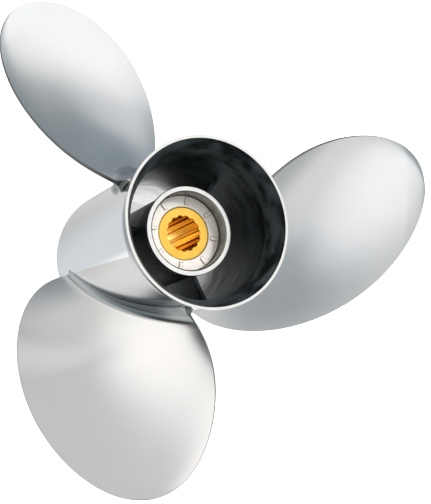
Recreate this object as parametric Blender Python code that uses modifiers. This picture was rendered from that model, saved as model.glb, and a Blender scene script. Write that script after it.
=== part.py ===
"""Outboard motor propeller with three blades and exhaust through the hub.

The shaft axis is Z and +Z points aft, away from the boat. The origin is on the shaft axis in the
plane of the barrel's forward rim, on which the loose propeller stands. The propeller is right
handed: each blade climbs aft as the angle about +Z grows, from its leading to its trailing edge.
"""
import math

import bmesh
import bpy
import numpy as np
from mathutils import Matrix

MM = 0.001

# Blades
BLADE_COUNT = 3
FIRST_BLADE_ANGLE = 90.0
TIP_RADIUS = 190.5 * MM
PITCH = 512.0 * MM
DRAWING_RADIUS = 60.0 * MM
DRAWING_HEIGHT = 88.5 * MM
# Rake: aft travel for each metre outwards, and its growth for each metre squared
RAKE_SLOPE = 0.174
RAKE_CURVE = 0.88
# Thickness at the barrel and at the tip, in mid chord and at the two edges
MIDDLE_THICKNESS = (11.0 * MM, 1.8 * MM)
LEADING_THICKNESS = (1.0 * MM, 1.4 * MM)
TRAILING_THICKNESS = (2.6 * MM, 1.5 * MM)
# Cup: how far the trailing edge curls aft, where the chord is no shorter than CUP_CHORD
CUP_DEPTH = 2.0 * MM
CUP_CHORD = 80.0 * MM
CUP_POWER = 10
# Root fillets: on the pressure face from leading to trailing edge, on the back, and at the edges
FACE_FILLET = (4.0 * MM, 11.5 * MM)
BACK_FILLET = 5.5 * MM
LEADING_FILLET = 3.5 * MM
TRAILING_FILLET = 6.0 * MM
# Share of a fillet's height at which it is cut off, short of lying flat on the barrel
STEEPEST_FILLET = 0.03
# Blade outline, one row for each drawing section: radius in millimetres, then the angle of the
# middle of the chord and half the angle that the chord spans, both in degrees about the shaft
OUTLINE = (
    (56.0, -8.0, 35.2),
    (62.0, -6.9, 36.5),
    (70.0, -5.5, 37.4),
    (80.0, -3.9, 37.4),
    (90.0, -2.3, 36.6),
    (110.0, 0.6, 33.2),
    (130.0, 3.4, 28.5),
    (150.0, 6.0, 22.8),
    (170.0, 8.7, 15.7),
    (180.0, 10.1, 11.0),
    (187.5, 11.1, 5.7),
)
OUTLINE_DEGREE = 5

# Barrel
BARREL_LENGTH = 162.0 * MM
BARREL_RADIUS = 54.5 * MM
FORWARD_BORE = 49.3 * MM
AFT_BORE = 50.3 * MM
FORWARD_EDGE_WIDTH = 2.2 * MM
FORWARD_EDGE_LENGTH = 4.0 * MM
FLARE_LENGTH = 22.0 * MM
RIM_RADIUS = 60.0 * MM
RIM_BORE = 57.9 * MM

# Inner hub tube and the webs that carry it
TUBE_RADIUS = 29.9 * MM
TUBE_RIM_RADIUS = 31.7 * MM
TUBE_BORE = 27.5 * MM
TUBE_FORWARD = 14.0 * MM
TUBE_AFT = 129.3 * MM
TUBE_RIM_LENGTH = 5.0 * MM
TUBE_CHAMFER = 0.5 * MM
WEB_COUNT = 3
FIRST_WEB_ANGLE = 23.4
WEB_THICKNESS = 3.0 * MM
WEB_FORWARD = 20.0 * MM
WEB_AFT = 108.0 * MM

# Bush and splined sleeve
FIT_GAP = 0.3 * MM
BUSH_FORWARD = 34.0 * MM
BUSH_AFT = 119.0 * MM
BUSH_CHAMFER = 0.8 * MM
RIB_COUNT = 8
FIRST_RIB_ANGLE = 7.7
RIB_INNER_RADIUS = 20.8 * MM
RIB_OUTER_RADIUS = 26.0 * MM
RIB_WIDTH = 2.2 * MM
RIB_HEIGHT = 0.8 * MM
SLEEVE_RADIUS = 18.8 * MM
SLEEVE_FORWARD = 22.0 * MM
SLEEVE_CHAMFER = 0.6 * MM
SPLINE_COUNT = 15
SPLINE_ROOT_RADIUS = 13.0 * MM
SPLINE_CREST_RADIUS = 11.5 * MM

# Mesh density
BARREL_STEPS = 72
HUB_STEPS = 64
CHORD_STEPS = 18
SHARP_ANGLE = 40.0
FILLET_STATIONS = (0.3 * MM, 1.0 * MM, 2.2 * MM, 3.8 * MM, 5.8 * MM, 8.2 * MM, 11.5 * MM)
SPAN_STEPS = 15
FLARE_STEPS = 5
EDGE_STEPS = 3
MERGE = 0.01 * MM


def clear_scene():
    """Remove every object that the file holds."""
    for item in list(bpy.data.objects):
        bpy.data.objects.remove(item, do_unlink=True)


def make_collection(name):
    """Add a collection to the scene."""
    collection = bpy.data.collections.new(name)
    bpy.context.scene.collection.children.link(collection)
    return collection


def make_material(name, color, metallic, roughness):
    """Add a Principled material."""
    material = bpy.data.materials.new(name)
    material.use_nodes = True
    shader = material.node_tree.nodes["Principled BSDF"]
    shader.inputs["Base Color"].default_value = (*color, 1.0)
    shader.inputs["Metallic"].default_value = metallic
    shader.inputs["Roughness"].default_value = roughness
    return material


def add_object(name, mesh, collection, material=None):
    """Link a mesh to the scene as an object."""
    item = bpy.data.objects.new(name, mesh)
    collection.objects.link(item)
    if material is not None:
        mesh.materials.append(material)
    return item


def turned(name, profile, steps, collection, material=None):
    """Turn a closed profile of (radius, height) points about Z; its outer side runs downwards."""
    mesh = bpy.data.meshes.new(name)
    count = len(profile)
    edges = [(i, (i + 1) % count) for i in range(count)]
    mesh.from_pydata([(radius, 0.0, height) for radius, height in profile], edges, [])
    item = add_object(name, mesh, collection, material)
    screw = item.modifiers.new("Turn", "SCREW")
    screw.steps = steps
    screw.render_steps = steps
    screw.use_merge_vertices = True
    screw.merge_threshold = MERGE
    screw.use_smooth_shade = True
    return item


def box(name, size, matrix, collection):
    """Add a box of the given size, placed by a matrix."""
    mesh = bpy.data.meshes.new(name)
    shape = bmesh.new()
    bmesh.ops.create_cube(shape, size=1.0, matrix=matrix @ Matrix.Diagonal((*size, 1.0)))
    shape.to_mesh(mesh)
    shape.free()
    return add_object(name, mesh, collection)


def combine(item, others, operation):
    """Join other shapes to an object, or cut them from it."""
    for other in others:
        other.display_type = "WIRE"
        other.hide_render = True
        boolean = item.modifiers.new(other.name, "BOOLEAN")
        boolean.operation = operation
        boolean.solver = "EXACT"
        boolean.object = other


def span_value(radius):
    """Run from 0 at the blade's root section to 1 at its tip, fastest at the tip."""
    root = BARREL_RADIUS
    return math.asin(min(1.0, max(0.0, (radius - root) / (TIP_RADIUS - root)))) * 2.0 / math.pi


def span_radius(value):
    """Give the radius for a span value."""
    return BARREL_RADIUS + (TIP_RADIUS - BARREL_RADIUS) * math.sin(value * math.pi / 2.0)


def faired_outline():
    """Fair the blade's mid-chord angle and its half width through the drawing sections."""
    rest = np.array([1.0 - span_value(row[0] * MM) for row in OUTLINE])
    middle = np.array([row[1] for row in OUTLINE])
    half = np.array([row[2] for row in OUTLINE])
    middle_curve = np.polynomial.Polynomial.fit(rest, middle, OUTLINE_DEGREE)
    half_curve = np.polynomial.Polynomial.fit(rest, half / rest, OUTLINE_DEGREE)
    return middle_curve, half_curve


def edge_angles(radius, curves):
    """Give the angles of the leading and trailing edges at a radius, in radians."""
    rest = 1.0 - span_value(radius)
    middle = math.radians(curves[0](rest))
    half = math.radians(curves[1](rest) * rest)
    return middle - half, middle + half


def blade_height(radius, angle, fraction, chord):
    """Give the blade's height where a chord fraction, from the leading edge, has this angle."""
    out = radius - DRAWING_RADIUS
    rake = RAKE_SLOPE * out + RAKE_CURVE * out * out
    cup = CUP_DEPTH * min(1.0, chord / CUP_CHORD) * (fraction ** CUP_POWER - fraction)
    return DRAWING_HEIGHT + rake + PITCH * angle / (2.0 * math.pi) + cup


def fillet_swell(out, size):
    """Give how far a round fillet stands proud at a height out from the barrel."""
    rest = 1.0 - min(1.0, max(STEEPEST_FILLET, out / size))
    return size * (1.0 - math.sqrt(1.0 - rest * rest))


def edge_share(distance, length, size):
    """Give the share of the swelling that is left at a distance from one of the blade's edges.

    The edge's own fillet has this size and stands out by this length. The swelling is rounded off
    over that length, down to nothing at the foot of the fillet and less and less above it.
    """
    if distance >= length:
        return 1.0
    short = 1.0 - distance / length
    return 1.0 - length / fillet_swell(0.0, size) * (1.0 - math.sqrt(1.0 - short * short))


def blade_thickness(radius, fraction):
    """Give the blade's thickness where no fillet swells it."""
    share = max(0.0, (radius - BARREL_RADIUS) / (TIP_RADIUS - BARREL_RADIUS))
    rows = (MIDDLE_THICKNESS, LEADING_THICKNESS, TRAILING_THICKNESS)
    middle, leading, trailing = [root + (tip - root) * share for root, tip in rows]
    bulge = middle - (leading + trailing) / 2.0
    return leading + (trailing - leading) * fraction + bulge * 4.0 * fraction * (1.0 - fraction)


def blade_section(radius, curves):
    """Give one closed section of the blade on a cylinder round the shaft.

    It runs along the pressure face from the leading to the trailing edge and returns along the
    back. Both edges are cut flat. Near the barrel the fillets swell the section all round.
    """
    leading, trailing = edge_angles(radius, curves)
    out = radius - BARREL_RADIUS
    lead = fillet_swell(out, LEADING_FILLET)
    trail = fillet_swell(out, TRAILING_FILLET)
    back_swell = fillet_swell(out, BACK_FILLET)
    slope = PITCH / (2.0 * math.pi * radius)
    length = math.hypot(1.0, slope)
    chord = radius * (trailing - leading) * length + lead + trail
    face = []
    back = []
    for step in range(CHORD_STEPS + 1):
        fraction = 0.5 - 0.5 * math.cos(math.pi * step / CHORD_STEPS)
        angle = leading + (fraction * chord - lead) / (radius * length)
        height = blade_height(radius, angle, fraction, chord)
        swell = edge_share(fraction * chord, lead, LEADING_FILLET)
        swell *= edge_share((1.0 - fraction) * chord, trail, TRAILING_FILLET)
        fillet = FACE_FILLET[0] + (FACE_FILLET[1] - FACE_FILLET[0]) * fraction
        face_offset = fillet_swell(out, fillet) * swell
        back_offset = -blade_thickness(radius, fraction) - back_swell * swell
        for side, offset in ((face, face_offset), (back, back_offset)):
            turn = angle - offset * slope / length / radius
            side.append((radius * math.cos(turn), radius * math.sin(turn), height + offset / length))
    return face + back[::-1]


def blade_sections(curves):
    """List the blade's sections from inside the barrel's wall to the tip."""
    radii = [(BARREL_RADIUS + AFT_BORE) / 2.0]
    radii += [BARREL_RADIUS + out for out in FILLET_STATIONS]
    start = span_value(radii[-1])
    step = (1.0 - start) / SPAN_STEPS
    radii += [span_radius(start + step * i) for i in range(1, SPAN_STEPS)]
    radii.append(span_radius(1.0 - 0.4 * step))
    return [blade_section(radius, curves) for radius in radii]


def blade_mesh():
    """Loft one blade through its sections and close its two ends with strips."""
    sections = blade_sections(faired_outline())
    count = len(sections[0])
    shape = bmesh.new()
    rings = [[shape.verts.new(point) for point in section] for section in sections]
    for lower, upper in zip(rings, rings[1:]):
        for i in range(count):
            after = (i + 1) % count
            shape.faces.new((lower[i], lower[after], upper[after], upper[i]))
    for ring in (rings[0], rings[-1]):
        for i in range(CHORD_STEPS):
            shape.faces.new((ring[i], ring[i + 1], ring[-i - 2], ring[-i - 1]))
    bmesh.ops.triangulate(shape, faces=shape.faces)
    bmesh.ops.recalc_face_normals(shape, faces=shape.faces)
    for face in shape.faces:
        face.smooth = True
    mesh = bpy.data.meshes.new("blade")
    shape.to_mesh(mesh)
    shape.free()
    mesh.set_sharp_from_angle(angle=math.radians(SHARP_ANGLE))
    return mesh


def flare(inner, outer, top_down):
    """Give the points of the rim's flare from the barrel's radius out to the rim's."""
    points = []
    for step in range(FLARE_STEPS):
        share = (step + 1) / FLARE_STEPS
        height = BARREL_LENGTH - FLARE_LENGTH * (1.0 - share)
        points.append((inner + (outer - inner) * share * share, height))
    return points[::-1] if top_down else points


def build_barrel(collection, material):
    """Turn the barrel: straight outside, slightly drafted inside, flared at the aft rim."""
    neck = BARREL_LENGTH - FLARE_LENGTH
    profile = flare(BARREL_RADIUS, RIM_RADIUS, True)
    profile.append((BARREL_RADIUS, neck))
    for step in range(EDGE_STEPS + 1):
        turn = 0.5 * math.pi * step / EDGE_STEPS
        inset = FORWARD_EDGE_WIDTH * (1.0 - math.cos(turn))
        profile.append((BARREL_RADIUS - inset, FORWARD_EDGE_LENGTH * (1.0 - math.sin(turn))))
    profile += [(FORWARD_BORE, 0.0), (AFT_BORE, neck)]
    profile += flare(AFT_BORE, RIM_BORE, False)
    return turned("propeller_casting", profile, BARREL_STEPS, collection, material)


def build_tube(cutters):
    """Turn the inner hub tube, a little thicker at its machined aft rim."""
    profile = [
        (TUBE_RIM_RADIUS - TUBE_CHAMFER, TUBE_AFT),
        (TUBE_RIM_RADIUS, TUBE_AFT - TUBE_CHAMFER),
        (TUBE_RADIUS, TUBE_AFT - TUBE_RIM_LENGTH),
        (TUBE_RADIUS, TUBE_FORWARD),
        (TUBE_BORE + TUBE_CHAMFER, TUBE_FORWARD),
        (TUBE_BORE, TUBE_FORWARD + TUBE_CHAMFER),
        (TUBE_BORE, TUBE_AFT - TUBE_CHAMFER),
        (TUBE_BORE + TUBE_CHAMFER, TUBE_AFT),
    ]
    return turned("hub_tube", profile, HUB_STEPS, cutters)


def build_webs(cutters):
    """Place the webs from inside the tube's wall to inside the barrel's wall."""
    inner = (TUBE_BORE + TUBE_RADIUS) / 2.0
    outer = (AFT_BORE + BARREL_RADIUS) / 2.0
    size = (outer - inner, WEB_THICKNESS, WEB_AFT - WEB_FORWARD)
    middle = ((inner + outer) / 2.0, 0.0, (WEB_FORWARD + WEB_AFT) / 2.0)
    webs = []
    for i in range(WEB_COUNT):
        angle = math.radians(FIRST_WEB_ANGLE + 360.0 * i / WEB_COUNT)
        place = Matrix.Rotation(angle, 4, "Z") @ Matrix.Translation(middle)
        webs.append(box(f"web_{i + 1}", size, place, cutters))
    return webs


def build_blades(cutters):
    """Place the blades round the shaft."""
    mesh = blade_mesh()
    blades = []
    for i in range(BLADE_COUNT):
        blade = add_object(f"blade_{i + 1}", mesh, cutters)
        blade.rotation_euler.z = math.radians(FIRST_BLADE_ANGLE + 360.0 * i / BLADE_COUNT)
        blades.append(blade)
    return blades


def build_casting(parts, cutters):
    """Join barrel, tube, webs and blades into the one piece that they are cast as."""
    steel = make_material("polished_stainless", (0.78, 0.79, 0.81), 1.0, 0.22)
    casting = build_barrel(parts, steel)
    combine(casting, [build_tube(cutters)] + build_webs(cutters) + build_blades(cutters), "UNION")
    return casting


def build_bush(parts, cutters):
    """Turn the bush and join the ribs on its aft face to it."""
    outer = TUBE_BORE - FIT_GAP
    inner = SLEEVE_RADIUS + FIT_GAP
    profile = [
        (outer - BUSH_CHAMFER, BUSH_AFT),
        (outer, BUSH_AFT - BUSH_CHAMFER),
        (outer, BUSH_FORWARD + BUSH_CHAMFER),
        (outer - BUSH_CHAMFER, BUSH_FORWARD),
        (inner, BUSH_FORWARD),
        (inner, BUSH_AFT),
    ]
    rubber = make_material("grey_rubber", (0.56, 0.54, 0.51), 0.0, 0.5)
    bush = turned("hub_bush", profile, HUB_STEPS, parts, rubber)
    size = (RIB_OUTER_RADIUS - RIB_INNER_RADIUS, RIB_WIDTH, 2.0 * RIB_HEIGHT)
    middle = ((RIB_OUTER_RADIUS + RIB_INNER_RADIUS) / 2.0, 0.0, BUSH_AFT)
    ribs = []
    for i in range(RIB_COUNT):
        angle = math.radians(FIRST_RIB_ANGLE + 360.0 * i / RIB_COUNT)
        place = Matrix.Rotation(angle, 4, "Z") @ Matrix.Translation(middle)
        ribs.append(box(f"rib_{i + 1}", size, place, cutters))
    combine(bush, ribs, "UNION")
    return bush


def spline_cutter(cutters):
    """Extrude the star outline of the spline's grooves, whose valleys stay inside the bore."""
    groove = 2.0 * math.pi / SPLINE_COUNT
    valley = SPLINE_CREST_RADIUS - SLEEVE_CHAMFER
    pattern = ((-0.32, valley), (-0.22, SPLINE_ROOT_RADIUS), (0.22, SPLINE_ROOT_RADIUS), (0.32, valley))
    below = SLEEVE_FORWARD - SLEEVE_RADIUS
    height = BUSH_AFT - SLEEVE_FORWARD + 2.0 * SLEEVE_RADIUS
    shape = bmesh.new()
    ring = []
    for i in range(SPLINE_COUNT):
        for share, radius in pattern:
            angle = groove * (i + share)
            ring.append(shape.verts.new((radius * math.cos(angle), radius * math.sin(angle), below)))
    base = shape.faces.new(ring)
    lifted = bmesh.ops.extrude_face_region(shape, geom=[base])
    top = [item for item in lifted["geom"] if isinstance(item, bmesh.types.BMVert)]
    bmesh.ops.translate(shape, verts=top, vec=(0.0, 0.0, height))
    bmesh.ops.recalc_face_normals(shape, faces=shape.faces)
    mesh = bpy.data.meshes.new("spline_grooves")
    shape.to_mesh(mesh)
    shape.free()
    return add_object("spline_grooves", mesh, cutters)


def build_sleeve(parts, cutters):
    """Turn the sleeve and cut the spline's grooves into its bore."""
    profile = [
        (SLEEVE_RADIUS - SLEEVE_CHAMFER, BUSH_AFT),
        (SLEEVE_RADIUS, BUSH_AFT - SLEEVE_CHAMFER),
        (SLEEVE_RADIUS, SLEEVE_FORWARD + SLEEVE_CHAMFER),
        (SLEEVE_RADIUS - SLEEVE_CHAMFER, SLEEVE_FORWARD),
        (SPLINE_ROOT_RADIUS, SLEEVE_FORWARD),
        (SPLINE_CREST_RADIUS, SLEEVE_FORWARD + SPLINE_ROOT_RADIUS - SPLINE_CREST_RADIUS),
        (SPLINE_CREST_RADIUS, BUSH_AFT - SLEEVE_CHAMFER),
        (SPLINE_CREST_RADIUS + SLEEVE_CHAMFER, BUSH_AFT),
    ]
    brass = make_material("machined_brass", (0.86, 0.58, 0.18), 1.0, 0.3)
    sleeve = turned("splined_sleeve", profile, HUB_STEPS, parts, brass)
    combine(sleeve, [spline_cutter(cutters)], "DIFFERENCE")
    return sleeve


def main():
    """Build the propeller."""
    clear_scene()
    parts = make_collection("outboard_propeller")
    cutters = make_collection("cutters")
    build_casting(parts, cutters)
    build_bush(parts, cutters)
    build_sleeve(parts, cutters)


main()
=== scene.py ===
"""Looks of a stainless outboard motor propeller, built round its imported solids.

The frame is the part's own: metres, +Z along the shaft and pointing aft, the origin on the shaft
axis in the plane of the barrel's forward rim. Every piece rides on the one rigid body.
"""
import logging
import math
from dataclasses import dataclass
from enum import IntEnum

import bmesh
import bpy
import numpy as np
from bpy.types import ID, Material, Mesh, Node, NodeSocket, NodeTree, Object
from mathutils import Matrix, Vector


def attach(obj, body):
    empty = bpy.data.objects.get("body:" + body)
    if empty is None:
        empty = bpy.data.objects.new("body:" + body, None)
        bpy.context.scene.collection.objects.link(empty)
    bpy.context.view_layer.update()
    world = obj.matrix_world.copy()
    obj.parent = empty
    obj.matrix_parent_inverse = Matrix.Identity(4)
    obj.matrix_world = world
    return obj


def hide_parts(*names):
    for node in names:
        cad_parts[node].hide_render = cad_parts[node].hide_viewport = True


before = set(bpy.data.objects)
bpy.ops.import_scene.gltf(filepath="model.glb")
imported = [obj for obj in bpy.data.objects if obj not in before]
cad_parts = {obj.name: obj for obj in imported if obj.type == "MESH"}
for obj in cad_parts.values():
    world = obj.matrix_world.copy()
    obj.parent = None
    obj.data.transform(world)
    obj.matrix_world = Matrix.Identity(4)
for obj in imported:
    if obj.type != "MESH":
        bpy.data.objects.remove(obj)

Pair = tuple[float, float]
Triple = tuple[float, float, float]

LOG = logging.getLogger("propeller")
MM = 0.001
BODY = "root"
SMOOTH_ANGLE = math.radians(38.0)
# Metres within which two heights count as one
CLOSE = 1e-5


# Colours and nodes

def linear(colour: str) -> tuple[float, float, float, float]:
    """Turn an sRGB hex colour to linear light.

    Args:
        colour: a hash sign and six hex digits.

    Returns:
        Red, green and blue in linear light, and full opacity.
    """
    parts = [int(colour[i:i + 2], 16) / 255.0 for i in (1, 3, 5)]
    red, green, blue = [
        part / 12.92 if part <= 0.04045 else ((part + 0.055) / 1.055) ** 2.4 for part in parts
    ]
    return red, green, blue, 1.0


def add_node(tree: NodeTree, kind: str, settings: dict, links: dict) -> Node:
    """Add a node with its settings and links.

    Args:
        tree: the node tree that gets it.
        kind: the shader node's type.
        settings: values by socket number or name, or by the name of a property of the node.
        links: output sockets by the number or name of the input that each one feeds.

    Returns:
        The new node.
    """
    node = tree.nodes.new("ShaderNode" + kind)
    for name, value in settings.items():
        if isinstance(name, str) and name not in node.inputs:
            setattr(node, name, value)
    for name, value in settings.items():
        if isinstance(name, int) or name in node.inputs:
            node.inputs[name].default_value = value
    for name, source in links.items():
        tree.links.new(source, node.inputs[name])
    return node


# Surfaces

EVEN = (1.0, 1.0, 1.0)
# Nearly all of a noise pattern lies between these two values
NOISE_RANGE = (0.3, 0.7)
FINE_RELIEF = 0.1 * MM


@dataclass
class Surface:
    """A material in the making, with the treatments that several finishes share."""

    name: str
    # What is the same all over it, by the shader's socket
    even: dict[str, float | tuple]

    def __post_init__(self) -> None:
        """Start the material, with the piece's own coordinates for its patterns."""
        self.material = bpy.data.materials.new(self.name)
        self.material.use_nodes = True
        self.tree = self.material.node_tree
        self.shader = self.tree.nodes["Principled BSDF"]
        for socket, value in self.even.items():
            self.shader.inputs[socket].default_value = value
        self.place = add_node(self.tree, "TexCoord", {}, {}).outputs["Object"]

    def spots(self, size_mm: float, detail: float, squeeze: Triple = EVEN) -> NodeSocket:
        """Scatter soft spots over the piece.

        Args:
            size_mm: their real size.
            detail: how finely they break up.
            squeeze: how much shorter they are along each axis.

        Returns:
            The pattern's strength.
        """
        place = self.place
        if squeeze != EVEN:
            place = add_node(self.tree, "Mapping", {"Scale": squeeze}, {"Vector": place}).outputs[0]
        return add_node(
            self.tree, "TexNoise", {"Scale": 1.0 / (size_mm * MM), "Detail": detail},
            {"Vector": place}).outputs[0]

    def radius(self) -> NodeSocket:
        """Give the distance from the shaft's axis."""
        flat = add_node(
            self.tree, "VectorMath", {"operation": "MULTIPLY", 1: (1.0, 1.0, 0.0)}, {0: self.place})
        return add_node(
            self.tree, "VectorMath", {"operation": "LENGTH"}, {0: flat.outputs[0]}).outputs["Value"]

    def vary(self, strength: NodeSocket, colours: tuple[str, str] | None = None,
             roughness: Pair | None = None, limits: Pair | None = None) -> None:
        """Let the colour and the roughness follow a pattern, where they are given.

        Args:
            strength: the pattern's strength.
            colours: the colours where it is weak and strong.
            roughness: the roughness at both ends of NOISE_RANGE.
            limits: the strengths between which the colour turns, unless it turns evenly.
        """
        if roughness:
            (least, most), (low, high) = NOISE_RANGE, roughness
            rough = add_node(
                self.tree, "MapRange",
                {"From Min": least, "From Max": most, "To Min": low, "To Max": high},
                {"Value": strength})
            self.tree.links.new(rough.outputs[0], self.shader.inputs["Roughness"])
        if limits:
            strength = add_node(
                self.tree, "MapRange",
                {"interpolation_type": "SMOOTHSTEP", "From Min": limits[0], "From Max": limits[1]},
                {"Value": strength}).outputs[0]
        if colours:
            colour = add_node(
                self.tree, "Mix",
                {"data_type": "RGBA", 6: linear(colours[0]), 7: linear(colours[1])}, {0: strength})
            self.tree.links.new(colour.outputs[2], self.shader.inputs["Base Color"])

    def emboss(self, height: NodeSocket, strength: float, depth: float = FINE_RELIEF) -> None:
        """Emboss a pattern on top of any relief that the surface has.

        Args:
            height: the pattern's height.
            strength: how strongly it shows.
            depth: the real size of a height of one.
        """
        normal = self.shader.inputs["Normal"]
        links = {"Height": height}
        if normal.is_linked:
            links["Normal"] = normal.links[0].from_socket
        bump = add_node(self.tree, "Bump", {"Strength": strength, "Distance": depth}, links)
        self.tree.links.new(bump.outputs[0], normal)


# Finishes

@dataclass(frozen=True)
class PolishedStainless:
    """Cast stainless steel, ground on a belt and polished on a soft wheel.

    Gives the eye a bright, slightly hazy mirror that flows over wide faces, with faint wheel marks.
    On a blade the wheel doesn't reach into the root fillet, which stays greyer: partly the duller
    finish, partly painted shade in the crease between blade and barrel.
    """

    name: str
    roughness: Pair
    blade: bool = False
    colour: str = "#d9dadc"
    # Darker grey of the root fillet: partly duller finish, partly painted shade
    dull_and_shaded: str = "#969c9f"
    dull_roughness: float = 0.2
    fillet_start: float = 54.5 * MM
    # The fillet's height at two heights along the shaft
    fillet_heights: Pair = (4.0 * MM, 11.5 * MM)
    fillet_span: Pair = (27.0 * MM, 127.0 * MM)
    dull_and_shade_share: Pair = (0.72, 0.96)
    # Heights along the shaft between which the wheel gets in again by the trailing edge, and the
    # fillet's painted shade ends
    dull_and_shade_end: Pair = (108.0 * MM, 122.0 * MM)
    haze_mm: float = 38.0
    # Real wheel marks lie some 0.05 mm apart; they are drawn coarser so that they just show
    mark_mm: float = 0.9
    mark_stretch: float = 0.05
    mark_strength: float = 0.012
    wave_mm: float = 30.0
    wave_strength: float = 0.02
    wave_depth: float = 1.0 * MM

    def build(self) -> Material:
        """Make the material.

        Returns:
            The finished material.
        """
        surface = Surface(self.name, {"Metallic": 1.0, "Base Color": linear(self.colour)})
        surface.vary(surface.spots(self.haze_mm, detail=3.0), roughness=self.roughness)
        waves = surface.spots(self.wave_mm, detail=1.0)
        surface.emboss(waves, self.wave_strength, self.wave_depth)
        marks = surface.spots(self.mark_mm, detail=2.0, squeeze=(self.mark_stretch, 1.0, 1.0))
        surface.emboss(marks, self.mark_strength)
        if self.blade:
            self.dull_and_shaded_fillet(surface)
        return surface.material

    def dull_and_shaded_fillet(self, surface: Surface) -> None:
        """Leave the root fillet less polished than the rest of the blade, and paint it darker:
        partly the duller finish, partly painted shade in the crease.

        Args:
            surface: the blade's surface.
        """
        tree = surface.tree
        out = add_node(
            tree, "Math", {"operation": "SUBTRACT", 1: self.fillet_start}, {0: surface.radius()})
        height = add_node(tree, "SeparateXYZ", {}, {"Vector": surface.place}).outputs["Z"]
        (forward, aft), (short, tall) = self.fillet_span, self.fillet_heights
        size = add_node(
            tree, "MapRange",
            {"From Min": forward, "From Max": aft, "To Min": short, "To Max": tall},
            {"Value": height})
        share = add_node(
            tree, "Math", {"operation": "DIVIDE"}, {0: out.outputs[0], 1: size.outputs[0]})
        ends = [
            add_node(
                tree, "MapRange",
                {"interpolation_type": "SMOOTHSTEP", "From Min": start, "From Max": stop},
                {"Value": source}).outputs[0]
            for source, (start, stop) in (
                (share.outputs[0], self.dull_and_shade_share), (height, self.dull_and_shade_end))]
        clear_of_fillet = add_node(
            tree, "Math", {"operation": "MAXIMUM"}, {0: ends[0], 1: ends[1]}).outputs[0]
        # The darker fillet grey is partly painted shade in the crease
        surface.vary(clear_of_fillet, (self.dull_and_shaded, self.colour))
        roughness = surface.shader.inputs["Roughness"]
        sheen = add_node(
            tree, "Mix", {"data_type": "FLOAT", 2: self.dull_roughness},
            {0: clear_of_fillet, 3: roughness.links[0].from_socket})
        tree.links.new(sheen.outputs[0], roughness)


@dataclass(frozen=True)
class GroundAndShadedEdge:
    """Cast stainless steel, ground along the blade's edge on a belt and left so.

    Gives the eye a thin dark grey line round each bright blade, with short strokes across it; the
    dark grey is partly the ground finish and partly painted shade along the edge.
    """

    # Dark greys, partly the ground finish and partly painted shade along the edge
    dark: str = "#5f6364"
    light: str = "#8e9191"
    roughness: float = 0.3
    # Real strokes are some 0.1 mm apart; they are drawn coarser so that they show
    stroke_mm: float = 0.7
    stroke_strength: float = 0.15

    def build(self) -> Material:
        """Make the material.

        Returns:
            The finished material.
        """
        surface = Surface("ground_stainless_edge_with_painted_shade", {"Metallic": 1.0, "Roughness": self.roughness})
        strokes = surface.spots(self.stroke_mm, detail=3.0)
        surface.vary(strokes, (self.dark, self.light))
        surface.emboss(strokes, self.stroke_strength)
        return surface.material


@dataclass(frozen=True)
class AsCastStainless:
    """Stainless steel as it left the ceramic mould, stained dark by heat and exhaust.

    Gives the eye a sooty blue-black wall with a fine grain and a low sheen. Where the flag for it
    is set, the wall turns to satin pale grey towards the forward mouth, with drawn-out streaks at
    the border;
    that pale grey is painted light, for the light coming in through the mouth.
    """

    name: str
    # Whether light is painted on the wall towards the forward mouth
    mouth_light: bool = False
    dark: str = "#171c1f"
    light: str = "#4b555a"
    # Pale grey painted towards the forward mouth, as painted light
    mouth_light_colour: str = "#e0e1e1"
    metallic: float = 0.7
    roughness: Pair = (0.38, 0.54)
    stain_mm: float = 18.0
    # How much shorter stains and streaks are along the shaft than round the wall
    stain_draw: float = 2.2
    streak_draw: float = 9.0
    stain_range: Pair = (0.36, 0.64)
    grain_mm: float = 0.9
    grain_strength: float = 0.7
    # Heights where the painted light starts to fade, and where it is gone
    mouth_light_fade_start: float = 44.0 * MM
    mouth_light_end: float = 72.0 * MM
    streak_mm: float = 14.0
    # How far streaks shift the border of the painted light, as a share of the border's width
    streak_reach: float = 0.6

    def build(self) -> Material:
        """Make the material.

        Returns:
            The finished material.
        """
        surface = Surface(self.name, {"Metallic": self.metallic})
        stains = surface.spots(self.stain_mm, detail=5.0, squeeze=(1.0, 1.0, self.stain_draw))
        surface.vary(stains, (self.dark, self.light), self.roughness, self.stain_range)
        surface.emboss(surface.spots(self.grain_mm, detail=4.0), self.grain_strength)
        if self.mouth_light:
            self.paint_mouth_light(surface)
        return surface.material

    def paint_mouth_light(self, surface: Surface) -> None:
        """Paint pale grey on the wall towards the forward mouth as painted light, fading out in
        streaks round the wall.

        Args:
            surface: the wall's surface.
        """
        tree = surface.tree
        streaks = surface.spots(self.streak_mm, detail=4.0, squeeze=(1.0, 1.0, self.streak_draw))
        reach = self.streak_reach * (self.mouth_light_end - self.mouth_light_fade_start)
        shift = add_node(
            tree, "Math", {"operation": "MULTIPLY_ADD", 1: 2.0 * reach, 2: -reach}, {0: streaks})
        split = add_node(tree, "SeparateXYZ", {}, {"Vector": surface.place})
        depth = add_node(
            tree, "Math", {"operation": "ADD"}, {0: split.outputs["Z"], 1: shift.outputs[0]})
        # Share of the wall that lies out of the painted light
        unlit_share = add_node(
            tree, "MapRange",
            {"interpolation_type": "SMOOTHSTEP",
             "From Min": self.mouth_light_fade_start, "From Max": self.mouth_light_end},
            {"Value": depth.outputs[0]})
        colour = surface.shader.inputs["Base Color"]
        mixed = add_node(
            tree, "Mix", {"data_type": "RGBA", 6: linear(self.mouth_light_colour)},
            {0: unlit_share.outputs[0], 7: colour.links[0].from_socket})
        tree.links.new(mixed.outputs[2], colour)


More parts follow.
